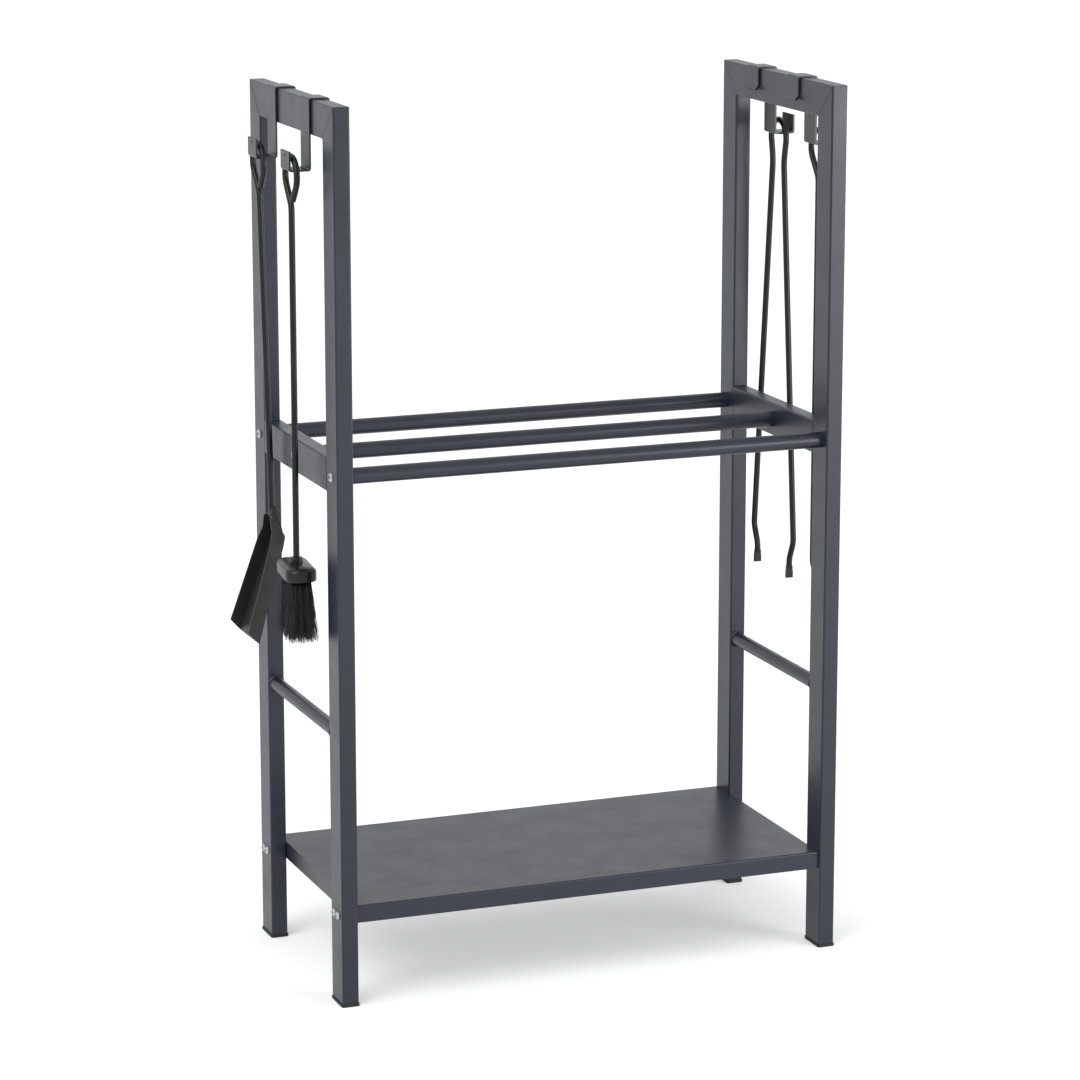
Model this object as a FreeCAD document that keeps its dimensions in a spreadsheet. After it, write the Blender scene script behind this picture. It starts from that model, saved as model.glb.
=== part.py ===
import FreeCAD, Part
import math
import os

import Sketcher

# Two-tier steel firewood rack with four over-rail hooks, a hearth brush, a shovel, tongs and a poker.
# Millimetres. Origin on the floor under the middle of rack and tools, +X right, +Y to the rear, +Z up.

os.makedirs("parts", exist_ok=True)
doc = FreeCAD.newDocument("log_rack")

SIZES = {
    # rack as a whole
    "RackWidth": 600, "RackDepth": 300, "RackHeight": 1000,
    # rectangular frame tube: deep side lies along the rack's depth, wide side along its width
    "TubeDeep": 38, "TubeWide": 19, "TubeWall": 1.5, "TubeRound": 2,
    # side frames
    "ShelfHeight": 597.5, "LowerBarHeight": 307, "LowerBarDia": 16, "LowerBarWall": 1.2,
    # upper shelf tubes and the threaded plugs in their ends
    "ShelfTubeDia": 18, "ShelfTubeWall": 1.2, "PlugLength": 15, "PlugPlay": 0.05,
    # bottom tray
    "TrayTop": 115, "TrayFlange": 20, "TraySheet": 1.2, "TrayRound": 2, "TrayInset": 4.5,
    # screws: shelf screws go into the plugs, tray screws take nuts inside the tray
    "ShelfScrewDia": 6, "ShelfScrewHead": 11, "ShelfScrewGrip": 10, "TrayScrewDia": 5,
    "TrayScrewHead": 9.5, "TrayScrewPitch": 13, "TrayScrewDrop": 11.5, "NutFlats": 8, "NutThick": 4,
    "ScrewHeadTall": 3, "ScrewTail": 1.5, "HolePlay": 0.5, "ThreadPlay": 0.2,
    # foot caps
    "FootFlange": 3, "FootLip": 1, "FootPlug": 14, "FootPlay": 0.1,
    # over-rail hooks, bent from flat strap
    "StrapWidth": 30, "StrapThick": 2, "HookPlay": 0.5, "HookDrop": 77, "HookInner": 20,
    "HookFlare": 4, "HookReach": 23, "HookTab": 22, "HookBend": 1.2, "HookHole": 3, "HookHoleDown": 5,
    "LeftFrontHookY": -60, "LeftRearHookY": 60, "RightFrontHookY": -50, "RightRearHookY": 60,
    # tool rods and the loop bent at their upper end
    "RodDia": 7, "LoopRoom": 2, "LoopAngle": 38, "LoopThroat": 18, "LoopTail": 17.5,
    "LoopGap": 0.3, "LeftToolOut": 18.5, "RightToolOut": 12.5,
    # brush
    "BrushRod": 396, "BrushLength": 75, "BrushWidth": 35, "BrushThick": 16, "BrushRound": 5,
    "BrushTurn": -6, "BrushSocket": 8, "BristleLength": 70, "CollarDia": 14,
    "CollarTall": 5.5, "SocketPlay": 0.1, "BristleInset": 2,
    # shovel
    "ShovelRod": 357, "ShovelLean": 1.41, "PanSheet": 1.5, "PanWidth": 74, "PanHeelWidth": 49,
    "PanLength": 124, "PanSlope": 19, "PanWall": 15.5, "PanLipCut": 9, "PanBackTall": 24,
    "PanBackSlope": 25, "PanNeck": 24, "PanShoulder": 32, "PanShoulderRound": 5,
    "PanBend": 6, "ShankWidth": 11, "ShankThick": 3,
    # tongs
    "BowAngle": 12, "BowSide": 14, "BowThroat": 60, "ArmSpread": 5.25, "ArmLength": 429,
    "KneeRadius": 20, "KneeAngle": 26, "KneeSide": 14, "TipWidth": 8.5, "TipThick": 3.6, "TipLength": 16,
    # poker
    "PokerRod": 437, "PokerBend": 12, "PokerAngle": 62, "PokerTip": 24, "PokerPoint": 3,
}


class Size:
    """A length or an angle together with the formula that drives it from the sheet."""

    def __init__(self, value, text):
        self.value = float(value)
        self.text = text

    def _join(self, other, sign, value):
        return Size(value, "(%s %s %s)" % (self.text, sign, as_size(other).text))

    def __add__(self, other):
        return self._join(other, "+", self.value + as_size(other).value)

    def __sub__(self, other):
        return self._join(other, "-", self.value - as_size(other).value)

    def __mul__(self, other):
        return self._join(other, "*", self.value * as_size(other).value)

    def __truediv__(self, other):
        return self._join(other, "/", self.value / as_size(other).value)

    def __neg__(self):
        return Size(-self.value, "(0 - %s)" % self.text)


def as_size(thing):
    return thing if isinstance(thing, Size) else Size(thing, "(%.9g)" % thing)


def sine(angle):
    return Size(math.sin(math.radians(angle.value)), "sin(%s * 1 deg)" % angle.text)


def cosine(angle):
    return Size(math.cos(math.radians(angle.value)), "cos(%s * 1 deg)" % angle.text)


def root(size):
    return Size(math.sqrt(size.value), "sqrt(%s)" % size.text)


sheet = doc.addObject("Spreadsheet::Sheet", "Sizes")
for row, (alias, number) in enumerate(SIZES.items(), start=1):
    sheet.set("A%d" % row, alias)
    sheet.set("B%d" % row, str(number))
    sheet.setAlias("B%d" % row, alias)
doc.recompute()
S = {alias: Size(number, "Sizes.%s" % alias) for alias, number in SIZES.items()}

nodes = []


# ---------------------------------------------------------------- helpers

def new_body(name, at=(0, 0, 0), axis=(0, 0, 1), angle=0, node=True):
    """A body placed by formulas; angle may be a Size, in degrees."""
    body = doc.addObject("PartDesign::Body", name)
    body.Label = name
    spot = [mid_x + at[0], as_size(at[1]), as_size(at[2])]
    turn = as_size(angle)
    body.Placement = FreeCAD.Placement(FreeCAD.Vector(*[v.value for v in spot]),
                                       FreeCAD.Rotation(FreeCAD.Vector(*axis), turn.value))
    for letter, v in zip("xyz", spot):
        body.setExpression("Placement.Base.%s" % letter, v.text)
    if turn.value:
        body.setExpression("Placement.Rotation.Angle", "%s * 1 deg" % turn.text)
    if node:
        nodes.append(body)
    return body


def new_sketch(body, plane, lift=0):
    """A sketch on one of the body's own origin planes, lifted along the plane's normal."""
    sketch = doc.addObject("Sketcher::SketchObject", "%s_sketch" % body.Name)
    body.addObject(sketch)
    base = [f for f in body.Origin.OriginFeatures if f.Role == plane][0]
    sketch.AttachmentSupport = [(base, "")]
    sketch.MapMode = "FlatFace"
    lift = as_size(lift)
    if lift.value:
        sketch.AttachmentOffset = FreeCAD.Placement(FreeCAD.Vector(0, 0, lift.value), FreeCAD.Rotation())
        sketch.setExpression("AttachmentOffset.Base.z", lift.text)
    return sketch


def drive(sketch, kind, *args):
    """Add one dimension and bind it to its formula."""
    size = as_size(args[-1])
    value = math.radians(size.value) if kind == "Angle" else size.value
    index = sketch.addConstraint(Sketcher.Constraint(kind, *args[:-1], value))
    sketch.setExpression("Constraints[%d]" % index, size.text + (" * 1 deg" if kind == "Angle" else ""))


def pin(sketch, geo, point, x, y):
    """Hold a sketch point at (x, y)."""
    for kind, size, line in (("DistanceX", as_size(x), -2), ("DistanceY", as_size(y), -1)):
        if abs(size.value) < 1e-9:
            sketch.addConstraint(Sketcher.Constraint("PointOnObject", geo, point, line))
        else:
            drive(sketch, kind, -1, 1, geo, point, size)


def polygon(sketch, points):
    pts = [(as_size(x), as_size(y)) for x, y in points]
    spots = [FreeCAD.Vector(x.value, y.value, 0) for x, y in pts]
    first = sketch.GeometryCount
    count = len(pts)
    for i in range(count):
        sketch.addGeometry(Part.LineSegment(spots[i], spots[(i + 1) % count]), False)
    for i in range(count):
        sketch.addConstraint(Sketcher.Constraint("Coincident", first + i, 2, first + (i + 1) % count, 1))
    for i, (x, y) in enumerate(pts):
        pin(sketch, first + i, 1, x, y)


def rectangle(sketch, half_x, half_y, cx=0, cy=0):
    hx, hy, cx, cy = (as_size(v) for v in (half_x, half_y, cx, cy))
    polygon(sketch, [(cx - hx, cy - hy), (cx + hx, cy - hy), (cx + hx, cy + hy), (cx - hx, cy + hy)])


def circle(sketch, x, y, diameter):
    x, y, diameter = as_size(x), as_size(y), as_size(diameter)
    centre = FreeCAD.Vector(x.value, y.value, 0)
    geo = sketch.addGeometry(Part.Circle(centre, FreeCAD.Vector(0, 0, 1), diameter.value / 2), False)
    pin(sketch, geo, 3, x, y)
    drive(sketch, "Diameter", geo, diameter)


def hexagon(sketch, flats):
    half, corner = flats / 2, flats / math.sqrt(3)
    side = corner / 2
    polygon(sketch, [(half, -side), (half, side), (0, corner), (-half, side), (-half, -side), (0, -corner)])


def finish(body, feature):
    body.Tip = feature
    doc.recompute()
    for obj in body.Group:
        if hasattr(obj, "Visibility"):
            obj.Visibility = False
    return feature


def grow(body, sketch, length, both=False, kind="PartDesign::Pad", flip=False):
    """Pad or pocket a sketch by a length, from the plane or equally to both sides."""
    feature = body.newObject(kind, "%s_%s" % (body.Name, kind.split("::")[1].lower()))
    feature.Profile = sketch
    feature.Length = as_size(length).value
    feature.setExpression("Length", as_size(length).text)
    if both:
        feature.SideType = "Symmetric"
    feature.Reversed = flip
    return finish(body, feature)


def cut(body, sketch, length, both=False, flip=False):
    before = body.Shape.Volume
    feature = grow(body, sketch, length, both, "PartDesign::Pocket", flip)
    if body.Shape.Volume >= before - 1e-6:
        raise RuntimeError("the cut in %s removed nothing" % body.Label)
    return feature


def edges_where(body, test):
    return ["Edge%d" % i for i, e in enumerate(body.Tip.Shape.Edges, start=1) if test(e)]


def round_edges(body, radius, test):
    base, names = body.Tip, edges_where(body, test)
    if not names:
        raise RuntimeError("no edge to round in %s" % body.Label)
    feature = body.newObject("PartDesign::Fillet", "%s_fillet" % body.Name)
    feature.Base = (base, names)
    feature.Radius = as_size(radius).value
    feature.setExpression("Radius", as_size(radius).text)
    return finish(body, feature)


def runs_along(letter):
    def test(edge):
        box = edge.BoundBox
        spans = {"x": box.XLength, "y": box.YLength, "z": box.ZLength}
        own = spans.pop(letter)
        return own > 1e-4 and max(spans.values()) < 1e-4
    return test


def sweep(body, sketch, spine):
    feature = body.newObject("PartDesign::AdditivePipe", "%s_sweep" % body.Name)
    feature.Profile = sketch
    feature.Spine = (spine, [])
    return finish(body, feature)


def trail(sketch, start, steps):
    """A chain of tangent lines and arcs, for a swept rod.

    steps alternate ("line", length, heading) and ("arc", radius, turn); a turn is positive to the left.
    A line with a fourth item takes its length from a constraint that the caller adds.
    """
    x, y = (as_size(v) for v in start)
    spot = FreeCAD.Vector(x.value, y.value, 0)
    last = None
    for step in steps:
        if step[0] == "line":
            heading = as_size(step[2])
            ahead = FreeCAD.Vector(math.cos(math.radians(heading.value)),
                                   math.sin(math.radians(heading.value)), 0)
            length = as_size(step[1])
            there = spot + ahead * length.value
            geo = sketch.addGeometry(Part.LineSegment(spot, there), False)
            ends = (1, 2)
        else:
            radius, turn = as_size(step[1]), step[2]
            side = 1 if turn > 0 else -1
            centre = spot + FreeCAD.Vector(-ahead.y, ahead.x, 0) * side * radius.value
            begin = math.atan2(spot.y - centre.y, spot.x - centre.x)
            end = begin + math.radians(turn)
            there = centre + FreeCAD.Vector(math.cos(end), math.sin(end), 0) * radius.value
            low, high = (begin, end) if turn > 0 else (end, begin)
            ring = Part.Circle(centre, FreeCAD.Vector(0, 0, 1), radius.value)
            geo = sketch.addGeometry(Part.ArcOfCircle(ring, low, high), False)
            ends = (1, 2) if turn > 0 else (2, 1)
            ahead = FreeCAD.Vector(-(there.y - centre.y), there.x - centre.x, 0) * side
            ahead.normalize()
        if last is None:
            pin(sketch, geo, 1, x, y)
        else:
            sketch.addConstraint(Sketcher.Constraint("Tangent", last[0], last[1], geo, ends[0]))
        if step[0] == "line":
            drive(sketch, "Angle", geo, heading)
            if len(step) == 3:
                drive(sketch, "Distance", geo, length)
        else:
            drive(sketch, "Radius", geo, radius)
        last = (geo, ends[1])
        spot = there
    return spot


# ---------------------------------------------------------------- derived sizes

half_width = S["RackWidth"] / 2
inner_x = half_width - S["TubeWide"]
leg_x = half_width - S["TubeWide"] / 2
leg_y = S["RackDepth"] / 2 - S["TubeDeep"] / 2
between_legs = S["RackDepth"] - S["TubeDeep"] * 2
bore_deep = S["TubeDeep"] / 2 - S["TubeWall"]
bore_wide = S["TubeWide"] / 2 - S["TubeWall"]
tray_screw_z = S["TrayTop"] - S["TrayScrewDrop"]
SIDES = (("left", -1), ("right", 1))
ENDS = (("front", -1), ("rear", 1))

# a tool's loop sits astride the hook's plate and touches its two long edges
plate_top = S["RackHeight"] - S["HookDrop"] + S["StrapThick"]
loop_radius = S["StrapWidth"] / 2 + S["LoopRoom"] + S["RodDia"] / 2
rest_radius = loop_radius - S["RodDia"] / 2 - S["LoopGap"]
loop_rise = root(rest_radius * rest_radius - S["StrapWidth"] / 2 * (S["StrapWidth"] / 2))
loop_z = plate_top - loop_rise
left_x = -(half_width + S["LeftToolOut"])
right_x = half_width + S["RightToolOut"]
loop_side = ((loop_radius * cosine(S["LoopAngle"]) - S["LoopThroat"] * (as_size(1)
             - cosine(S["LoopAngle"]))) / sine(S["LoopAngle"]))


def loop_height(straight):
    """Height of the loop's centre above the lower end of the straight rod."""
    angle = S["LoopAngle"]
    return (straight + S["LoopThroat"] * sine(angle) + loop_side * cosine(angle)
            + loop_radius * sine(angle))


# side view of the sheet: it hangs from the shank, slopes in, then turns out towards the lip
back, slope = S["PanBackSlope"], S["PanSlope"]
sheet_top = (-S["RodDia"] / 2 + S["PanSheet"], as_size(-3))
heel = (sheet_top[0] + S["PanBackTall"] * sine(back), sheet_top[1] - S["PanBackTall"] * cosine(back))
lip = (heel[0] - S["PanLength"] * sine(slope), heel[1] - S["PanLength"] * cosine(slope))
wall_out = (cosine(slope) * S["PanWall"], sine(slope) * S["PanWall"])
lip_wall = (lip[0] - wall_out[0] + sine(slope) * S["PanLipCut"],
            lip[1] + wall_out[1] + cosine(slope) * S["PanLipCut"])
heel_wall = (heel[0] - wall_out[0], heel[1] + wall_out[1])
top_wall = (sheet_top[0] - cosine(back) * 5, sheet_top[1] - sine(back) * 5)

# the shovel hangs with its centre of mass under the plate, so its rod leans in towards the rack
lean = S["ShovelLean"]
pivot_up = loop_height(S["ShovelRod"]) + loop_rise
shovel_x = left_x + pivot_up * sine(lean)

# the origin lies under the middle of rack and tools together, so the rack stands a little to its right
left_reach = -(shovel_x + lip_wall[0] * cosine(lean) - lip_wall[1] * sine(lean))
right_reach = leg_x + S["TubeWide"] / 2 + S["HookPlay"] + S["StrapThick"] + S["HookReach"]
mid_x = (left_reach - right_reach) / 2


# ---------------------------------------------------------------- side frames

def make_leg(side, sx, end, sy):
    leg = new_body("%s_%s_leg" % (side, end), (leg_x * sx, leg_y * sy, 0), angle=0 if sy < 0 else 180)
    plan = new_sketch(leg, "XY_Plane", S["FootFlange"])
    rectangle(plan, S["TubeWide"] / 2, S["TubeDeep"] / 2)
    grow(leg, plan, S["RackHeight"] - S["FootFlange"])
    round_edges(leg, S["TubeRound"], runs_along("z"))
    bore = new_sketch(leg, "XY_Plane", S["FootFlange"])
    rectangle(bore, bore_wide, bore_deep)
    cut(leg, bore, S["RackHeight"] - S["FootFlange"], flip=True)
    mitre = new_sketch(leg, "YZ_Plane")
    out, top = S["TubeDeep"] / 2 + 1, S["RackHeight"]
    polygon(mitre, [(-out, top + 1), (out, top + 1), (out, top - S["TubeDeep"] - 1)])
    cut(leg, mitre, S["TubeWide"] * 2, both=True)
    holes = new_sketch(leg, "YZ_Plane")
    circle(holes, 0, S["ShelfHeight"], S["ShelfScrewDia"] + S["HolePlay"])
    for step in (-1, 1):
        circle(holes, S["TrayScrewPitch"] / 2 * step, tray_screw_z, S["TrayScrewDia"] + S["HolePlay"])
    cut(leg, holes, S["TubeWide"] * 2, both=True)


def make_rail(name, sx, height, length, mitred):
    rail = new_body(name, (leg_x * sx, 0, height))
    section = new_sketch(rail, "XZ_Plane")
    rectangle(section, S["TubeWide"] / 2, S["TubeDeep"] / 2)
    grow(rail, section, length, both=True)
    round_edges(rail, S["TubeRound"], runs_along("y"))
    bore = new_sketch(rail, "XZ_Plane")
    rectangle(bore, bore_wide, bore_deep)
    cut(rail, bore, length, both=True)
    side_view = new_sketch(rail, "YZ_Plane")
    if mitred:
        half, deep = S["RackDepth"] / 2 + 1, S["TubeDeep"] / 2 + 1
        foot = S["RackDepth"] / 2 - S["TubeDeep"] - 1
        for sy in (-1, 1):
            polygon(side_view, [(half * sy, deep), (half * sy, -deep), (foot * sy, -deep)])
    else:
        circle(side_view, 0, 0, S["ShelfScrewDia"] + S["HolePlay"])
    cut(rail, side_view, S["TubeWide"] * 2, both=True)


def make_round_tube(name, at, plane, length, diameter, wall):
    tube = new_body(name, at)
    section = new_sketch(tube, plane)
    circle(section, 0, 0, diameter)
    grow(tube, section, length, both=True)
    bore = new_sketch(tube, plane)
    circle(bore, 0, 0, diameter - wall * 2)
    cut(tube, bore, length, both=True)


def make_foot(side, sx, end, sy):
    foot = new_body("%s_%s_foot" % (side, end), (leg_x * sx, leg_y * sy, 0))
    flange = new_sketch(foot, "XY_Plane")
    rectangle(flange, S["TubeWide"] / 2 + S["FootLip"], S["TubeDeep"] / 2 + S["FootLip"])
    grow(foot, flange, S["FootFlange"])
    round_edges(foot, S["TubeRound"] + S["FootLip"], runs_along("z"))
    plug = new_sketch(foot, "XY_Plane")
    rectangle(plug, bore_wide - S["FootPlay"], bore_deep - S["FootPlay"])
    grow(foot, plug, S["FootFlange"] + S["FootPlug"])


for side, sx in SIDES:
    for end, sy in ENDS:
        make_leg(side, sx, end, sy)
        make_foot(side, sx, end, sy)
    make_rail("%s_top_rail" % side, sx, S["RackHeight"] - S["TubeDeep"] / 2, S["RackDepth"], True)
    make_rail("%s_shelf_rail" % side, sx, S["ShelfHeight"], between_legs, False)
    make_round_tube("%s_lower_bar" % side, (leg_x * sx, 0, S["LowerBarHeight"]), "XZ_Plane",
                    between_legs, S["LowerBarDia"], S["LowerBarWall"])


# ---------------------------------------------------------------- screws, nuts and plugs

def make_screw(name, at, sx, diameter, head, shank):
    """A button-head screw; its head faces outwards, away from the rack's middle."""
    screw = new_body(name, at, axis=(0, 1, 0), angle=90 * sx, node=False)
    half = new_sketch(screw, "XZ_Plane")
    tall, rim = S["ScrewHeadTall"], head / 2
    polygon(half, [(0, -shank), (diameter / 2, -shank), (diameter / 2, 0), (rim, 0), (rim, tall / 3),
                   (rim * 0.62, tall), (0, tall)])
    turned = screw.newObject("PartDesign::Revolution", "%s_turned" % name)
    turned.Profile = half
    turned.ReferenceAxis = (half, ["V_Axis"])
    turned.Angle = 360
    finish(screw, turned)
    socket = new_sketch(screw, "XY_Plane", tall)
    hexagon(socket, head * 0.36)
    cut(screw, socket, tall * 0.7)
    return screw


def make_group(name, members):
    group = doc.addObject("Part::Compound", name)
    group.Label = name
    group.Links = members
    nodes.append(group)
    doc.recompute()


shelf_rows = [("front", -leg_y), ("middle", as_size(0)), ("rear", leg_y)]
for place, y in shelf_rows:
    make_round_tube("shelf_tube_%s" % place, (0, y, S["ShelfHeight"]), "YZ_Plane", inner_x * 2,
                    S["ShelfTubeDia"], S["ShelfTubeWall"])

plugs, shelf_screws, tray_screws, tray_nuts = [], [], [], []
for side, sx in SIDES:
    for place, y in shelf_rows:
        plug = new_body("plug_%s_%s" % (side, place), ((inner_x - S["PlugLength"] / 2) * sx, y,
                        S["ShelfHeight"]), node=False)
        disc = new_sketch(plug, "YZ_Plane")
        circle(disc, 0, 0, S["ShelfTubeDia"] - (S["ShelfTubeWall"] + S["PlugPlay"]) * 2)
        grow(plug, disc, S["PlugLength"], both=True)
        bore = new_sketch(plug, "YZ_Plane")
        circle(bore, 0, 0, S["ShelfScrewDia"] + S["ThreadPlay"])
        cut(plug, bore, S["PlugLength"], both=True)
        plugs.append(plug)
        shelf_screws.append(make_screw("shelf_screw_%s_%s" % (side, place),
                                       (half_width * sx, y, S["ShelfHeight"]), sx, S["ShelfScrewDia"],
                                       S["ShelfScrewHead"], S["TubeWide"] + S["ShelfScrewGrip"]))
    for end, sy in ENDS:
        for step in (-1, 1):
            y = leg_y * sy + S["TrayScrewPitch"] / 2 * step
            label = "%s_%s_%s" % (side, end, "b" if step > 0 else "a")
            shank = S["TubeWide"] + S["TraySheet"] + S["NutThick"] + S["ScrewTail"]
            tray_screws.append(make_screw("tray_screw_" + label, (half_width * sx, y, tray_screw_z), sx,
                                          S["TrayScrewDia"], S["TrayScrewHead"], shank))
            nut = new_body("tray_nut_" + label, ((inner_x - S["TraySheet"]) * sx, y, tray_screw_z),
                           axis=(0, 1, 0), angle=-90 * sx, node=False)
            flats = new_sketch(nut, "XY_Plane")
            hexagon(flats, S["NutFlats"])
            grow(nut, flats, S["NutThick"])
            bore = new_sketch(nut, "XY_Plane")
            circle(bore, 0, 0, S["TrayScrewDia"] + S["ThreadPlay"])
            cut(nut, bore, S["NutThick"], flip=True)
            tray_nuts.append(nut)
make_group("shelf_tube_plugs", plugs)
make_group("shelf_screws", shelf_screws)
make_group("tray_screws", tray_screws)
make_group("tray_nuts", tray_nuts)


# ---------------------------------------------------------------- bottom tray

tray = new_body("bottom_tray", (0, 0, S["TrayTop"] - S["TrayFlange"]))
plan = new_sketch(tray, "XY_Plane")
tray_half_y = S["RackDepth"] / 2 - S["TrayInset"]
rectangle(plan, inner_x, tray_half_y)
grow(tray, plan, S["TrayFlange"])
round_edges(tray, S["TrayRound"], lambda e: e.BoundBox.ZMin > S["TrayFlange"].value - 1e-4
            and e.BoundBox.XLength > 1)
hollow = new_sketch(tray, "XY_Plane")
rectangle(hollow, inner_x - S["TraySheet"], tray_half_y - S["TraySheet"])
cut(tray, hollow, S["TrayFlange"] - S["TraySheet"], flip=True)
holes = new_sketch(tray, "YZ_Plane")
for end, sy in ENDS:
    for step in (-1, 1):
        circle(holes, leg_y * sy + S["TrayScrewPitch"] / 2 * step, S["TrayFlange"] - S["TrayScrewDrop"],
               S["TrayScrewDia"] + S["HolePlay"])
cut(tray, holes, S["RackWidth"], both=True)


# ---------------------------------------------------------------- hooks

def make_hook(side, sx, end, y):
    """Strap over the top rail: short flared leg inside, long leg outside, plate and upturned tab."""
    hook = new_body("%s_%s_hook" % (side, end), (leg_x * sx, y, S["RackHeight"]),
                    angle=0 if sx > 0 else 180)
    thick = S["StrapThick"]
    near = S["TubeWide"] / 2 + S["HookPlay"]
    far = near + thick
    reach, drop, flare = S["HookReach"], S["HookDrop"], S["HookFlare"]
    outline = new_sketch(hook, "XZ_Plane")
    polygon(outline, [
        (-near, 0), (near, 0), (near, -drop), (far + reach, -drop), (far + reach, S["HookTab"] - drop),
        (near + reach, S["HookTab"] - drop), (near + reach, thick - drop), (far, thick - drop),
        (far, thick), (-far, thick), (-far, -S["HookInner"]), (-far - flare, -S["HookInner"] - flare),
        (-near - flare * 0.9, -S["HookInner"] - flare * 1.4), (-near, -S["HookInner"])])
    grow(hook, outline, S["StrapWidth"], both=True)
    outer, inner = [], []
    inside = ((near + reach, thick - drop), (far, thick - drop))
    outside = ((-far, thick), (far, thick), (near, -drop), (far + reach, -drop))
    for spots, picked in ((outside, outer), (inside, inner)):
        picked += [(as_size(x).value, as_size(z).value) for x, z in spots]

    def at_one_of(spots):
        def test(edge):
            box = edge.BoundBox
            return runs_along("y")(edge) and any(
                abs(box.XMin - x) < 1e-3 and abs(box.ZMin - z) < 1e-3 for x, z in spots)
        return test
    round_edges(hook, S["HookBend"] + thick, at_one_of(outer))
    round_edges(hook, S["HookBend"], at_one_of(inner))
    hole = new_sketch(hook, "YZ_Plane", far + reach + 1)
    circle(hole, 0, S["HookTab"] - drop - S["HookHoleDown"], S["HookHole"])
    cut(hook, hole, thick + 2)


for side, sx in SIDES:
    for end, sy in ENDS:
        make_hook(side, sx, end, S["%s%sHookY" % (side.title(), end.title())])


# ---------------------------------------------------------------- rods with a loop

def make_looped_rod(name, at, straight, **where):
    rod = new_body(name, at, **where)
    section = new_sketch(rod, "XY_Plane")
    circle(section, 0, 0, S["RodDia"])
    spine = new_sketch(rod, "YZ_Plane")
    trail(spine, (0, 0), [
        ("line", straight, 90), ("arc", S["LoopThroat"], -S["LoopAngle"].value),
        ("line", loop_side, as_size(90) - S["LoopAngle"], "set by the loop's centre"),
        ("arc", loop_radius, 180 + 2 * S["LoopAngle"].value),
        ("line", S["LoopTail"], S["LoopAngle"] - 90)])
    spine.addConstraint(Sketcher.Constraint("PointOnObject", 3, 3, -2))
    sweep(rod, section, spine)
    return rod


# ---------------------------------------------------------------- brush

brush_y = S["LeftFrontHookY"]
brush_foot = loop_z - loop_height(S["BrushRod"])
make_looped_rod("brush_handle", (left_x, brush_y, brush_foot), S["BrushRod"])
head_top = brush_foot + S["BrushSocket"]

collar = new_body("brush_collar", (left_x, brush_y, head_top))
ring = new_sketch(collar, "XY_Plane")
circle(ring, 0, 0, S["CollarDia"])
grow(collar, ring, S["CollarTall"])
round_edges(collar, 0.8, lambda e: e.BoundBox.ZMin > S["CollarTall"].value - 1e-4)
bore = new_sketch(collar, "XY_Plane")
circle(bore, 0, 0, S["RodDia"] + S["SocketPlay"] * 2)
cut(collar, bore, S["CollarTall"], flip=True)

head = new_body("brush_head", (left_x, brush_y, head_top - S["BrushThick"]), angle=S["BrushTurn"])
block = new_sketch(head, "XY_Plane")
rectangle(block, S["BrushWidth"] / 2, S["BrushLength"] / 2)
grow(head, block, S["BrushThick"])
round_edges(head, S["BrushWidth"] * 0.42, runs_along("z"))
round_edges(head, S["BrushRound"], lambda e: e.BoundBox.ZMin > S["BrushThick"].value - 1e-4)
socket = new_sketch(head, "XY_Plane", S["BrushThick"])
circle(socket, 0, 0, S["RodDia"] + S["SocketPlay"] * 2)
cut(head, socket, S["BrushSocket"])

bristles = new_body("brush_bristles", (left_x, brush_y, head_top - S["BrushThick"] - S["BristleLength"]),
                    angle=S["BrushTurn"])
tuft = new_sketch(bristles, "XY_Plane")
rectangle(tuft, S["BrushWidth"] / 2 - S["BristleInset"], S["BrushLength"] / 2 - S["BristleInset"])
grow(bristles, tuft, S["BristleLength"])
round_edges(bristles, S["BrushWidth"] * 0.3, runs_along("z"))


# ---------------------------------------------------------------- shovel

shovel_y = S["LeftRearHookY"]
shovel_at = (shovel_x, shovel_y, plate_top - pivot_up * cosine(lean))
shovel_turn = dict(axis=(0, 1, 0), angle=-lean)
rod = make_looped_rod("shovel_handle", shovel_at, S["ShovelRod"], **shovel_turn)

# flattened shank of the rod, lying on the back of the sheet
along = (sine(back), -cosine(back))
across = (cosine(back) * S["ShankThick"], sine(back) * S["ShankThick"])
start = (sheet_top[0] - along[0] * 2, sheet_top[1] - along[1] * 2)
stop = (sheet_top[0] + along[0] * (S["PanBackTall"] - 2), sheet_top[1] + along[1] * (S["PanBackTall"] - 2))
shank = new_sketch(rod, "XZ_Plane")
polygon(shank, [start, stop, (stop[0] + across[0], stop[1] + across[1]),
                (S["RodDia"] / 2 - 0.2, as_size(0)), (S["RodDia"] / 2 - 0.2, as_size(6)),
                (-S["RodDia"] / 2 + 1.7, as_size(6))])
grow(rod, shank, S["ShankWidth"], both=True)


def make_scoop(body):
    """The block that the sheet wraps; its open faces are taken off when it is hollowed."""
    outline = new_sketch(body, "XZ_Plane")
    polygon(outline, [sheet_top, heel, lip, lip_wall, heel_wall, top_wall])
    grow(body, outline, S["PanWidth"], both=True)
    shoulders = new_sketch(body, "YZ_Plane")
    wide, neck, heel_half = S["PanWidth"] / 2 + 1, S["PanNeck"] / 2, S["PanHeelWidth"] / 2
    for sy in (-1, 1):
        polygon(shoulders, [(neck * sy, 2), (neck * sy, sheet_top[1]),
                            (heel_half * sy, -S["PanShoulder"] - 3),
                            (S["PanWidth"] / 2 * sy, lip[1]), (wide * sy, lip[1]), (wide * sy, 2)])
    cut(body, shoulders, S["PanLength"], both=True)


pan = new_body("shovel_pan", shovel_at, **shovel_turn)
make_scoop(pan)
heel_x, heel_z = heel[0].value, heel[1].value
round_edges(pan, S["PanBend"], lambda e: runs_along("y")(e) and abs(e.BoundBox.XMin - heel_x) < 1e-3
            and abs(e.BoundBox.ZMin - heel_z) < 1e-3)
shoulder_z = -S["PanShoulder"].value - 3


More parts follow.
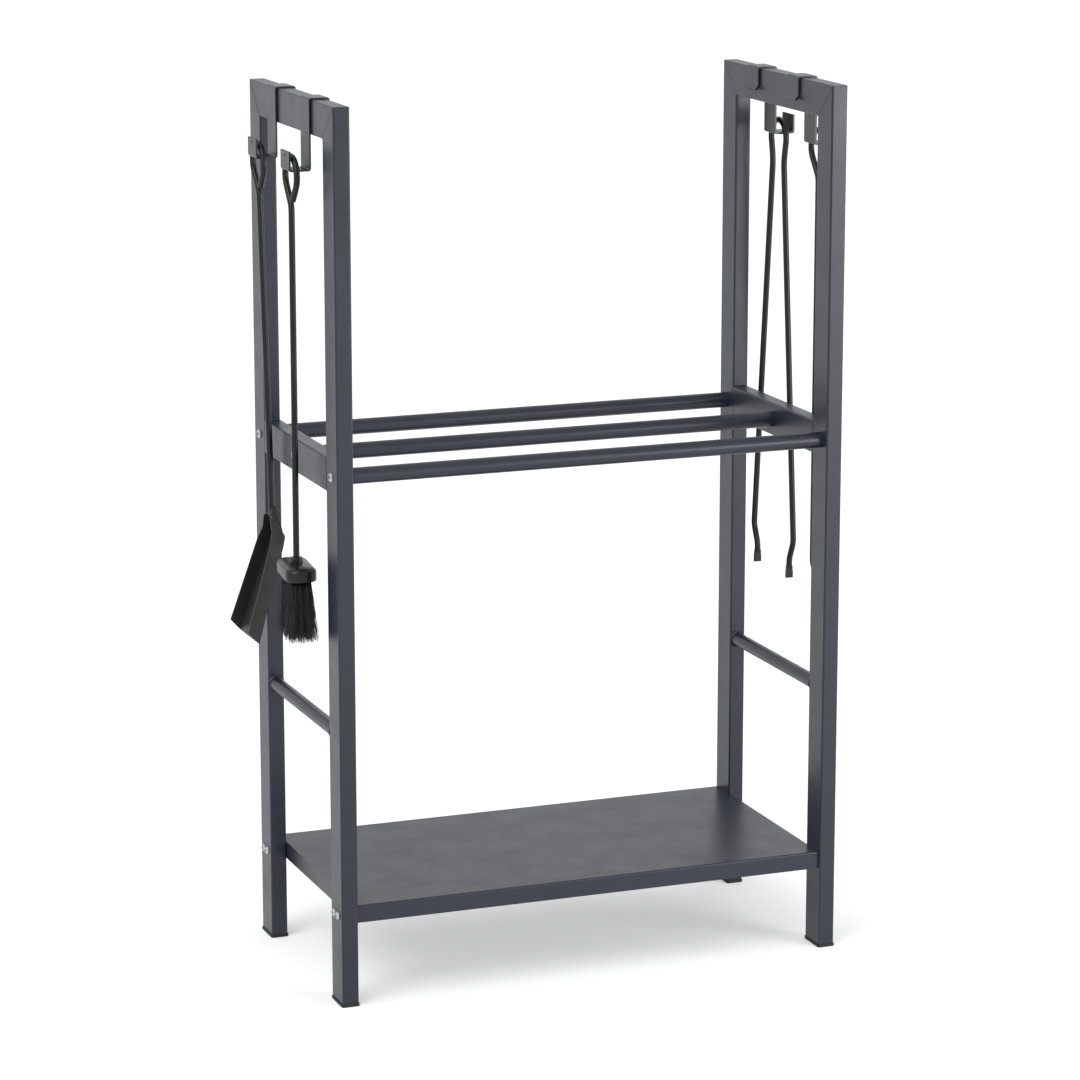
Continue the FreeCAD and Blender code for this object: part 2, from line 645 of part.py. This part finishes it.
def is_shoulder(edge):
    box = edge.BoundBox
    return (box.YLength < 1e-3 and abs(box.ZMax - shoulder_z) < 0.5 + box.ZLength
            and abs(abs(box.YMin) - S["PanHeelWidth"].value / 2) < 1e-3 and abs(box.ZLength) < 1e-3)


round_edges(pan, S["PanShoulderRound"], is_shoulder)


def is_open_face(face):
    """Faces between the free edges of the scoop: lip end, the open side and the top."""
    normal = face.normalAt(0, 0)
    toward = FreeCAD.Vector(-1, 0, 0)
    return abs(normal.y) < 1e-6 and (normal * toward > 0.2 or face.CenterOfMass.z > heel_z + 18)


def is_lip_face(face):
    normal = face.normalAt(0, 0)
    return abs(normal.y) < 1e-6 and normal.z < -0.6


scoop = pan.Tip
faces = ["Face%d" % i for i, f in enumerate(scoop.Shape.Faces, start=1)
         if f.Surface.TypeId == "Part::GeomPlane" and (is_open_face(f) or is_lip_face(f))]
shell = pan.newObject("PartDesign::Thickness", "pan_shell")
shell.Base = (scoop, faces)
shell.Value = S["PanSheet"].value
shell.setExpression("Value", S["PanSheet"].text)
shell.Reversed = True
finish(pan, shell)


# ---------------------------------------------------------------- tongs

tongs_y = S["RightRearHookY"]
bow, spread, knee, stub = S["BowAngle"], S["ArmSpread"], S["KneeAngle"], as_size(2)
split_y = (loop_radius * cosine(bow) - S["BowSide"] * sine(bow) + stub * sine(spread)
           + S["BowThroat"] * (cosine(bow) - cosine(spread)))
bow_height = (loop_radius * sine(bow) + S["BowSide"] * cosine(bow) + stub * cosine(spread)
              + S["BowThroat"] * (sine(bow) + sine(spread)))
split_z = loop_z - bow_height

tongs_bow = new_body("tongs_bow", (right_x, tongs_y, split_z))
section = new_sketch(tongs_bow, "XY_Plane")
circle(section, 0, -split_y, S["RodDia"])
spine = new_sketch(tongs_bow, "YZ_Plane")
throat_turn = bow.value + spread.value
trail(spine, (-split_y, 0), [
    ("line", stub, as_size(90) - spread), ("arc", S["BowThroat"], throat_turn),
    ("line", S["BowSide"], as_size(90) + bow), ("arc", loop_radius, -180 - 2 * bow.value),
    ("line", S["BowSide"], as_size(-90) - bow), ("arc", S["BowThroat"], throat_turn),
    ("line", stub + 1, as_size(-90) + spread)])
sweep(tongs_bow, section, spine)
level = new_sketch(tongs_bow, "XY_Plane")
rectangle(level, S["RodDia"], S["RodDia"], 0, split_y)
cut(tongs_bow, level, S["RodDia"])


def make_arm(end, sy):
    """One arm below the bow: long straight run, knee inwards and a flattened gripping tip."""
    arm = new_body("tongs_%s_arm" % end, (right_x, tongs_y + split_y * sy, split_z))
    disc = new_sketch(arm, "XY_Plane")
    circle(disc, 0, 0, S["RodDia"])
    path = new_sketch(arm, "YZ_Plane")
    down = as_size(-90)
    trail(path, (0, 0), [
        ("line", S["ArmLength"], down + spread * sy),
        ("arc", S["KneeRadius"], -sy * (spread.value + knee.value)),
        ("line", S["KneeSide"], down - knee * sy), ("arc", S["KneeRadius"], sy * knee.value),
        ("line", stub + S["TipLength"] / 2, down)])
    sweep(arm, disc, path)
    foot_z = -(S["ArmLength"] * cosine(spread) + S["KneeRadius"] * (sine(spread) + sine(knee))
               + S["KneeSide"] * cosine(knee) + S["KneeRadius"] * sine(knee) + stub)
    foot_y = (S["ArmLength"] * sine(spread) + S["KneeRadius"] * (cosine(knee) - cosine(spread))
              - S["KneeSide"] * sine(knee) + S["KneeRadius"] * (cosine(knee) - 1)) * sy
    blade = new_sketch(arm, "XZ_Plane", -foot_y)
    shank, half, start = S["RodDia"] / 2 - 0.3, S["TipWidth"] / 2, foot_z - 1
    polygon(blade, [(-shank, start), (shank, start), (half, start - S["TipLength"] / 2),
                    (half, foot_z - S["TipLength"]), (-half, foot_z - S["TipLength"]),
                    (-half, start - S["TipLength"] / 2)])
    grow(arm, blade, S["TipThick"] + 1, both=True)
    flats = new_sketch(arm, "YZ_Plane")
    for face in (-1, 1):
        thin, full = foot_y + S["TipThick"] / 2 * face, foot_y + (S["RodDia"] / 2 + 0.1) * face
        clear, below = foot_y + S["TipWidth"] * face, foot_z - S["TipLength"] - 1
        polygon(flats, [(full, foot_z), (thin, foot_z - S["TipLength"] / 3), (thin, below),
                        (clear, below), (clear, foot_z)])
    cut(arm, flats, S["TipWidth"] * 2, both=True)


for end, sy in ENDS:
    make_arm(end, sy)


# ---------------------------------------------------------------- poker

poker = make_looped_rod("poker", (right_x, S["RightFrontHookY"], loop_z - loop_height(S["PokerRod"])),
                        S["PokerRod"])
section = new_sketch(poker, "XY_Plane")
circle(section, 0, 0, S["RodDia"])
spine = new_sketch(poker, "YZ_Plane")
trail(spine, (0, 0), [
    ("line", stub, -90), ("arc", S["PokerBend"], -S["PokerAngle"].value),
    ("line", S["PokerTip"], as_size(-90) - S["PokerAngle"])])
sweep(poker, section, spine)
reach_y = min(e.BoundBox.YMin for e in poker.Tip.Shape.Edges)
round_edges(poker, S["PokerPoint"], lambda e: e.Curve.TypeId == "Part::GeomCircle"
            and e.BoundBox.YMin < reach_y + 0.5)


# ---------------------------------------------------------------- export

def check_and_write():
    doc.recompute()
    for obj in doc.Objects:
        if any(word in obj.State for word in ("Invalid", "Error")):
            raise RuntimeError("%s is %s" % (obj.Label, obj.State))
    for node in nodes:
        shape = node.Shape
        if shape.isNull() or not shape.isValid() or not shape.Solids:
            raise RuntimeError("%s has no valid solid" % node.Label)
    for node in nodes:
        node.Shape.exportStep("parts/%s.step" % node.Label)


check_and_write()
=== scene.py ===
import math
import random

import bmesh
import bpy
from mathutils import Matrix, Vector


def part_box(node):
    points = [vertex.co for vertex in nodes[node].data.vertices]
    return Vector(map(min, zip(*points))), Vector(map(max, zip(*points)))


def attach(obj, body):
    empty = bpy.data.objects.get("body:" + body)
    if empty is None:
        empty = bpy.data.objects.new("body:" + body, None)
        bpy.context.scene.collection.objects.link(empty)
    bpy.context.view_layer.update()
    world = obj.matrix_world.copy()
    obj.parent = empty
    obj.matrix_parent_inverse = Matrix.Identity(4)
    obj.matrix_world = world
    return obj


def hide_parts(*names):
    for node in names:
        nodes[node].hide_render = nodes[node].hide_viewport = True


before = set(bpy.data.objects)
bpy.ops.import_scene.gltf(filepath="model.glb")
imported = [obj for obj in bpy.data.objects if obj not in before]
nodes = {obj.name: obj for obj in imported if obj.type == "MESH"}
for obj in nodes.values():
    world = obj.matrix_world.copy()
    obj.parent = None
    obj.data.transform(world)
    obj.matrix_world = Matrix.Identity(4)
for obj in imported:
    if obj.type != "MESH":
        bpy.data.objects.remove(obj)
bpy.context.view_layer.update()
random.seed(7)
MM = 0.001
BRUSH_TURN = Matrix.Rotation(math.radians(-6.0), 3, "Z")
tray_low, tray_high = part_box("bottom_tray")
rack_middle = (tray_low.x + tray_high.x) / 2


# ---------------------------------------------------------------- materials

class Recipe:
    """A principled material whose colour, roughness and bump come from object-space procedural nodes."""

    def __init__(self, name, **sockets):
        self.material = bpy.data.materials.new(name)
        self.material.use_nodes = True
        self.tree = self.material.node_tree
        self.shader = next(n for n in self.tree.nodes if n.type == "BSDF_PRINCIPLED")
        for key, value in sockets.items():
            self.shader.inputs[key.replace("_", " ")].default_value = value
        self.place = self.node("ShaderNodeTexCoord").outputs["Object"]
        self.height = None

    def node(self, kind, **inputs):
        node = self.tree.nodes.new(kind)
        for key, value in inputs.items():
            self.put(node.inputs[key.replace("_", " ")], value)
        return node

    def put(self, socket, value):
        if isinstance(value, bpy.types.NodeSocket):
            self.tree.links.new(value, socket)
        else:
            socket.default_value = value

    def stretched(self, scale):
        mapping = self.node("ShaderNodeMapping", Vector=self.place)
        mapping.inputs["Scale"].default_value = scale
        return mapping.outputs["Vector"]

    def noise(self, scale, detail=3.0, roughness=0.5, vector=None):
        return self.node("ShaderNodeTexNoise", Vector=vector or self.place, Scale=scale, Detail=detail,
                         Roughness=roughness).outputs["Fac"]

    def ramp(self, value, low, high, out_low, out_high):
        node = self.node("ShaderNodeMapRange")
        for socket, number in zip(node.inputs, (value, low, high, out_low, out_high)):
            self.put(socket, number)
        return node.outputs[0]

    def mix(self, factor, dark, light):
        node = self.tree.nodes.new("ShaderNodeMix")
        node.data_type = "RGBA"
        colours = [s for s in node.inputs if s.type == "RGBA"]
        self.put(node.inputs[0], factor)
        for socket, colour in zip(colours, (dark, light)):
            self.put(socket, colour if isinstance(colour, bpy.types.NodeSocket) else (*colour, 1))
        return next(s for s in node.outputs if s.type == "RGBA")

    def colour(self, socket):
        self.tree.links.new(socket, self.shader.inputs["Base Color"])

    def rough(self, socket):
        self.tree.links.new(socket, self.shader.inputs["Roughness"])

    def bump(self, height, depth, strength=1.0):
        node = self.node("ShaderNodeBump", Strength=strength, Distance=depth, Height=height)
        if self.height:
            self.tree.links.new(self.height, node.inputs["Normal"])
        self.height = node.outputs["Normal"]
        self.tree.links.new(self.height, self.shader.inputs["Normal"])


def powder_coat(name, dark, light, worn, rough):
    """Baked powder coat: fine orange peel, faint cloudiness and sparse paler specks."""
    r = Recipe(name, Metallic=0.0, Specular_IOR_Level=0.38)
    cloud = r.noise(5.0, 4.0, 0.6)
    speck = r.noise(1500.0, 2.0, 0.6)
    base = r.mix(r.ramp(cloud, 0.35, 0.65, 0.0, 1.0), dark, light)
    r.colour(r.mix(r.ramp(speck, 0.62, 0.74, 0.0, 0.4), base, worn))
    r.rough(r.ramp(r.noise(24.0, 5.0, 0.65), 0.3, 0.7, rough - 0.04, rough + 0.05))
    r.bump(r.noise(420.0, 2.0, 0.5), 0.00012, 0.55)
    r.bump(r.noise(9.0, 2.0, 0.4), 0.0006, 0.25)
    return r.material


FRAME = powder_coat("frame_powder_coat", (0.0095, 0.0125, 0.0205), (0.0125, 0.016, 0.026),
                    (0.05, 0.055, 0.07), 0.34)
HOOK = powder_coat("hook_powder_coat", (0.010, 0.012, 0.017), (0.014, 0.016, 0.022),
                   (0.05, 0.052, 0.06), 0.32)


def forged_black():
    r = Recipe("satin_black_rod", Metallic=0.0, Specular_IOR_Level=0.26)
    cloud = r.noise(30.0, 5.0, 0.65)
    r.colour(r.mix(r.ramp(cloud, 0.35, 0.7, 0.0, 1.0), (0.0045, 0.0042, 0.0045), (0.0095, 0.009, 0.0095)))
    r.rough(r.ramp(r.noise(70.0, 4.0, 0.6), 0.3, 0.7, 0.28, 0.4))
    r.bump(r.noise(320.0, 3.0, 0.5), 0.0002, 0.5)
    r.bump(r.noise(60.0, 2.0, 0.5), 0.0006, 0.35)
    return r.material


def pan_black():
    r = Recipe("satin_black_sheet", Metallic=0.0, Specular_IOR_Level=0.36)
    cloud = r.noise(22.0, 5.0, 0.65)
    r.colour(r.mix(r.ramp(cloud, 0.35, 0.7, 0.0, 1.0), (0.008, 0.008, 0.0085), (0.015, 0.015, 0.0155)))
    r.rough(r.ramp(r.noise(55.0, 5.0, 0.6), 0.3, 0.7, 0.34, 0.5))
    r.bump(r.noise(600.0, 2.0, 0.5), 0.0001, 0.5)
    r.bump(r.noise(26.0, 2.0, 0.5), 0.0008, 0.3)
    return r.material


def zinc_plate():
    r = Recipe("bright_zinc", Metallic=1.0)
    cloud = r.noise(160.0, 4.0, 0.6)
    r.colour(r.mix(r.ramp(cloud, 0.3, 0.7, 0.0, 1.0), (0.33, 0.34, 0.36), (0.52, 0.52, 0.52)))
    r.rough(r.ramp(r.noise(420.0, 4.0, 0.7), 0.3, 0.7, 0.18, 0.34))
    r.bump(r.noise(900.0, 3.0, 0.6), 0.00006, 0.6)
    return r.material


def moulded(name, dark, light, rough, grain, depth):
    r = Recipe(name, Metallic=0.0, Specular_IOR_Level=0.3)
    r.colour(r.mix(r.ramp(r.noise(40.0, 4.0, 0.6), 0.3, 0.7, 0.0, 1.0), dark, light))
    r.rough(r.ramp(r.noise(90.0, 4.0, 0.6), 0.3, 0.7, rough - 0.05, rough + 0.06))
    cell = r.node("ShaderNodeTexVoronoi", Vector=r.place, Scale=grain)
    r.bump(cell.outputs["Distance"], depth, 0.4)
    return r.material


def fibre():
    r = Recipe("black_fibre", Metallic=0.0, Specular_IOR_Level=0.5)
    along = r.stretched((1.0, 1.0, 0.06))
    r.colour(r.mix(r.ramp(r.noise(700.0, 3.0, 0.6, along), 0.35, 0.7, 0.0, 1.0),
                   (0.004, 0.004, 0.004), (0.020, 0.0195, 0.019)))
    r.rough(r.ramp(r.noise(500.0, 3.0, 0.6, along), 0.3, 0.7, 0.34, 0.55))
    r.bump(r.noise(2500.0, 2.0, 0.5, along), 0.00005, 0.5)
    return r.material


ROD = forged_black()
SHEET = pan_black()
ZINC = zinc_plate()
CAP = moulded("foot_cap_plastic", (0.010, 0.010, 0.011), (0.018, 0.018, 0.019), 0.55, 1800.0, 0.00008)
BLOCK = moulded("brush_block_plastic", (0.005, 0.005, 0.0053), (0.0075, 0.0075, 0.008), 0.3, 2600.0,
                0.00002)
FIBRE = fibre()


def finish_of(name):
    if name in ("shelf_screws", "tray_screws", "tray_nuts", "shelf_tube_plugs"):
        return ZINC
    if name.endswith("_hook"):
        return HOOK
    if name.endswith("_foot"):
        return CAP
    if name in ("brush_head", "brush_collar"):
        return BLOCK
    if name == "brush_bristles":
        return FIBRE
    if name == "shovel_pan":
        return SHEET
    if name in ("brush_handle", "shovel_handle", "tongs_bow", "tongs_front_arm", "tongs_rear_arm", "poker"):
        return ROD
    return FRAME


for name, obj in nodes.items():
    obj.data.materials.clear()
    obj.data.materials.append(finish_of(name))


# ---------------------------------------------------------------- pieces

def new_piece(name, mesh, material, body):
    data = bpy.data.meshes.new(name)
    mesh.to_mesh(data)
    mesh.free()
    piece = bpy.data.objects.new(name, data)
    bpy.context.scene.collection.objects.link(piece)
    data.materials.append(material)
    data.polygons.foreach_set("use_smooth", [True] * len(data.polygons))
    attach(piece, body)
    return piece


RIPPLE_PITCH = 1.6 * MM
BEAD_STEP = 0.5 * MM


def bead(mesh, start, end, normal, half, tall, ripple):
    """A weld bead: a low half-round ridge from start to end, lying on the surface with that normal."""
    count = max(2, int((end - start).length / BEAD_STEP))
    points = [start.lerp(end, i / count) for i in range(count)] + [end]
    side = (end - start).normalized().cross(normal).normalized()
    rings, travelled, last = [], 0.0, start
    for number, p in enumerate(points):
        travelled += (p - last).length
        last = p
        swell = 1 + ripple * math.sin(travelled / RIPPLE_PITCH * 2 * math.pi) + random.uniform(-0.04, 0.04)
        ends = min(1.0, 0.35 + 0.65 * min(number, count - number) / 4)
        ring = []
        for k in range(7):
            a = math.pi * k / 6
            ring.append(mesh.verts.new(p + side * half * ends * math.cos(a)
                                       + normal * (tall * ends * swell * math.sin(a) - 0.1 * MM)))
        rings.append(ring)
    for r0, r1 in zip(rings, rings[1:]):
        for k in range(6):
            mesh.faces.new((r0[k], r0[k + 1], r1[k + 1], r1[k]))
        mesh.faces.new((r0[6], r0[0], r1[0], r1[6]))
    mesh.faces.new(rings[0][::-1])
    mesh.faces.new(rings[-1])


def fillet_ring(mesh, centre, axis, radius, leg):
    """A weld fillet round the end of a bar; axis points along it from the wall, leg is in millimetres."""
    axis = axis.normalized()
    u = axis.orthogonal().normalized()
    v = axis.cross(u)
    rings, count = [], 96
    for i in range(count):
        a = 2 * math.pi * i / count
        out = u * math.cos(a) + v * math.sin(a)
        swell = 1 + 0.12 * math.sin(i * 2 * math.pi / 4) + random.uniform(-0.05, 0.05)
        ring = []
        for along, away in ((-0.1, leg), (0.35, leg * 0.62), (leg * 0.4, leg * 0.34),
                            (leg, -0.05), (leg, -0.4), (-0.1, -0.4)):
            grown = swell if away > 0.2 else 1
            ring.append(mesh.verts.new(centre + axis * along * MM + out * (radius + away * grown * MM)))
        rings.append(ring)
    for i in range(count):
        r0, r1 = rings[i], rings[(i + 1) % count]
        for k in range(6):
            mesh.faces.new((r0[k], r0[(k + 1) % 6], r1[(k + 1) % 6], r1[k]))


# half width, height and ripple of a ground seam and of a corner fillet
SEAM = (0.9 * MM, 0.32 * MM, 0.12)
FILLET = (1.5 * MM, 1.0 * MM, 0.15)
CORNER_INSET = 1.6 * MM
END_INSET = 2.0 * MM
FILLET_LEG = 2.2


def corner_welds(side):
    """Mitre seams of one top rail: a bead on the outer and inner faces at both corners."""
    mesh = bmesh.new()
    lo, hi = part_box(side + "_top_rail")
    deep = hi.z - lo.z
    for end in (-1, 1):
        y_out = hi.y if end > 0 else lo.y
        y_in = y_out - end * deep
        for x, nx in ((lo.x, -1), (hi.x, 1)):
            bead(mesh, Vector((x, y_out - end * CORNER_INSET, hi.z - CORNER_INSET)), Vector((x, y_in, lo.z)),
                 Vector((nx, 0, 0)), *SEAM)
    new_piece(side + "_mitre_welds", mesh, FRAME, "rack")


def bar_welds(side):
    """A fillet round each end of the lower bar."""
    mesh = bmesh.new()
    lo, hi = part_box(side + "_lower_bar")
    centre = (lo + hi) / 2
    radius = (hi.z - lo.z) / 2
    for y, way in ((lo.y, 1), (hi.y, -1)):
        fillet_ring(mesh, Vector((centre.x, y, centre.z)), Vector((0, way, 0)), radius, FILLET_LEG)
    new_piece(side + "_lower_bar_welds", mesh, FRAME, "rack")


def rail_welds(side):
    """Beads where the shelf rail meets the two legs, on its four faces."""
    mesh = bmesh.new()
    lo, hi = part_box(side + "_shelf_rail")
    for y, way in ((lo.y, 1), (hi.y, -1)):
        for z, nz in ((hi.z, 1), (lo.z, -1)):
            bead(mesh, Vector((lo.x + END_INSET, y, z)), Vector((hi.x - END_INSET, y, z)),
                 Vector((0, way * 0.7, nz * 0.7)).normalized(), *FILLET)
        for x, nx in ((lo.x, -1), (hi.x, 1)):
            bead(mesh, Vector((x, y, lo.z + END_INSET)), Vector((x, y, hi.z - END_INSET)),
                 Vector((nx, 0, 0)), *SEAM)
    new_piece(side + "_shelf_rail_welds", mesh, FRAME, "rack")


for side in ("left", "right"):
    corner_welds(side)
    bar_welds(side)
    rail_welds(side)


def brush_block():
    """Moulded block: upright sides, a soft shoulder, a crowned top and a recess for the fibres."""
    lo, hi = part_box("brush_head")
    centre = Vector(((lo.x + hi.x) / 2, (lo.y + hi.y) / 2, lo.z))
    half_x, half_y, corner = 17.4, 37.4, 15.0
    # height and inset of each ring in millimetres, then the crown's rings as a share of the last one
    levels = [(4.0, 3.0), (0.2, 2.4), (0.0, 1.4), (0.3, 0.4), (1.0, 0.0), (5.0, 0.0), (9.0, 0.0),
              (9.6, 0.25), (10.1, 0.05), (11.0, 0.25), (12.2, 0.9), (13.3, 2.0), (14.2, 3.5),
              (14.9, 5.4), (15.4, 7.8), (15.75, 10.6), (15.95, 13.4)]
    crown = [(0.75, 16.15), (0.5, 16.28), (0.25, 16.36)]
    mesh = bmesh.new()
    rings = []
    for z, inset in levels:
        ring = []
        for sx, sy, begin in ((1, 1, 0), (-1, 1, 90), (-1, -1, 180), (1, -1, 270)):
            radius = max(corner - inset, 1.2)
            cx, cy = sx * (half_x - inset - radius), sy * (half_y - inset - radius)
            for k in range(13):
                a = math.radians(begin + 90 * k / 12)
                flat = Vector((cx + radius * math.cos(a), cy + radius * math.sin(a), z)) * MM
                ring.append(mesh.verts.new(centre + BRUSH_TURN @ flat))
        rings.append(ring)
    edge = [v.co - centre for v in rings[-1]]
    for share, z in crown:
        rings.append([mesh.verts.new(centre + Vector((p.x * share, p.y * share, z * MM))) for p in edge])
    for r0, r1 in zip(rings, rings[1:]):
        for k in range(len(r0)):
            mesh.faces.new((r0[k], r0[(k + 1) % len(r0)], r1[(k + 1) % len(r0)], r1[k]))
    peak = mesh.verts.new(centre + Vector((0, 0, 16.38 * MM)))
    last = rings[-1]
    for k in range(len(last)):
        mesh.faces.new((last[k], last[(k + 1) % len(last)], peak))
    mesh.faces.new(rings[0][::-1])
    bmesh.ops.recalc_face_normals(mesh, faces=mesh.faces)
    piece = new_piece("brush_block", mesh, BLOCK, "brush")
    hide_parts("brush_head")


def bristles():
    """Coarse fibres set in bundles under the block; they flare and end unevenly."""
    lo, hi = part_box("brush_bristles")
    centre = Vector(((lo.x + hi.x) / 2, (lo.y + hi.y) / 2, 0))
    top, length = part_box("brush_head")[0].z + 2 * MM, hi.z - lo.z
    mesh = bmesh.new()
    rows, columns, per_bundle = 6, 14, 26
    for i in range(columns):
        for j in range(rows):
            u = (i + 0.5) / columns * 2 - 1 + (0.5 / columns if j % 2 else -0.5 / columns)
            v = (j + 0.5) / rows * 2 - 1
            if (abs(u) ** 4 + abs(v) ** 4) > 1.12:
                continue
            root = Vector((v * 11.0 * MM, u * 27.0 * MM, 0))
            for _ in range(per_bundle):
                a, d = random.uniform(0, 2 * math.pi), math.sqrt(random.random()) * 2.1 * MM
                start = root + Vector((math.cos(a) * d, math.sin(a) * d, 0))
                reach = length * random.uniform(0.9, 0.995) + 2 * MM
                if random.random() < 0.12:
                    reach *= random.uniform(0.82, 0.95)
                flare = Vector((start.x * 0.42 + random.gauss(0, 1.8) * MM,
                                start.y * 0.36 + random.gauss(0, 3.0) * MM, 0))
                bow = Vector((random.gauss(0, 1.2), random.gauss(0, 1.6), 0)) * MM
                spine = []
                for k in range(6):
                    t = k / 5
                    spine.append(start + flare * t ** 1.3 + bow * math.sin(math.pi * t)
                                 + Vector((0, 0, -reach * t)))
                strand(mesh, [centre + BRUSH_TURN @ p + Vector((0, 0, top)) for p in spine],
                       random.uniform(0.20, 0.30) * MM)
    piece = new_piece("brush_fibre", mesh, FIBRE, "brush")
    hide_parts("brush_bristles")


def strand(mesh, spine, radius):
    """One three-sided fibre that thins towards its tip."""
    rings = []
    phase = random.uniform(0, 2 * math.pi)
    for k, p in enumerate(spine):
        r = radius * (1 - 0.55 * (k / (len(spine) - 1)) ** 2)
        angles = [phase + s * 2.0944 for s in range(3)]
        rings.append([mesh.verts.new(p + Vector((math.cos(a) * r, math.sin(a) * r, 0))) for a in angles])
    for r0, r1 in zip(rings, rings[1:]):
        for s in range(3):
            mesh.faces.new((r0[s], r1[s], r1[(s + 1) % 3], r0[(s + 1) % 3]))
    mesh.faces.new(rings[0])
    mesh.faces.new(rings[-1][::-1])


brush_block()
bristles()


# ---------------------------------------------------------------- camera, floor and lights

FOCAL_PIXELS = 3978.08
IMAGE_PIXELS = 1080


def make_camera():
    yaw, pitch = 0.3684, 0.2224
    ahead = Vector((math.sin(yaw) * math.cos(pitch), math.cos(yaw) * math.cos(pitch), -math.sin(pitch)))
    right = Vector((math.cos(yaw), -math.sin(yaw), 0))
    up = right.cross(ahead)
    turn = Matrix((right, up, -ahead)).transposed().to_4x4()
    data = bpy.data.cameras.new("camera")
    data.sensor_width = 36.0
    data.lens = FOCAL_PIXELS / IMAGE_PIXELS * data.sensor_width
    data.clip_end = 200
    camera = bpy.data.objects.new("camera", data)
    camera.matrix_world = Matrix.Translation((rack_middle - 1.60535, -4.13845, 1.48004)) @ turn
    bpy.context.scene.collection.objects.link(camera)
    bpy.context.scene.camera = camera


def soft_light(name, at, toward, width, height, power):
    """An area light; power is in watts."""
    data = bpy.data.lights.new(name, "AREA")
    data.shape = "RECTANGLE"
    data.size, data.size_y = width, height
    data.energy = power
    light = bpy.data.objects.new(name, data)
    light.location = at
    light.rotation_euler = (Vector(toward) - Vector(at)).to_track_quat("-Z", "Y").to_euler()
    bpy.context.scene.collection.objects.link(light)


def make_floor():
    """A pale floor with a weak glow of its own, so that the shadow on it stays light."""
    mesh = bmesh.new()
    bmesh.ops.create_grid(mesh, x_segments=24, y_segments=24, size=40)
    data = bpy.data.meshes.new("floor")
    mesh.to_mesh(data)
    mesh.free()
    floor = bpy.data.objects.new("floor", data)
    bpy.context.scene.collection.objects.link(floor)
    r = Recipe("pale_floor", Metallic=0.0, Specular_IOR_Level=0.1, Emission_Strength=0.36,
               Emission_Color=(1, 1, 1, 1))
    cloud = r.ramp(r.noise(0.7, 3.0, 0.5), 0.3, 0.7, 0.0, 1.0)
    r.colour(r.mix(cloud, (0.57, 0.57, 0.57), (0.59, 0.59, 0.59)))
    r.rough(r.ramp(r.noise(12.0, 3.0, 0.5), 0.3, 0.7, 0.75, 0.85))
    data.materials.append(r.material)


def make_world():
    world = bpy.data.worlds.new("studio")
    bpy.context.scene.world = world
    world.use_nodes = True
    back = next(n for n in world.node_tree.nodes if n.type == "BACKGROUND")
    back.inputs["Color"].default_value = (1, 1, 1, 1)
    back.inputs["Strength"].default_value = 0.98


def sun(name, toward, strength, spread):
    data = bpy.data.lights.new(name, "SUN")
    data.energy = strength
    data.angle = math.radians(spread)
    light = bpy.data.objects.new(name, data)
    light.rotation_euler = Vector(toward).to_track_quat("-Z", "Y").to_euler()
    bpy.context.scene.collection.objects.link(light)


make_camera()
make_floor()
make_world()
sun("key", (0.7, 0.35, -1.0), 1.3, 38)
soft_light("right_front_box", (2.15, -2.6, 0.95), (0.3, -0.1, 0.75), 1.4, 1.3, 72)
soft_light("left_box", (-2.6, -1.6, 1.9), (-0.3, 0, 0.8), 0.9, 1.2, 12)

bpy.context.scene.view_settings.view_transform = "Standard"
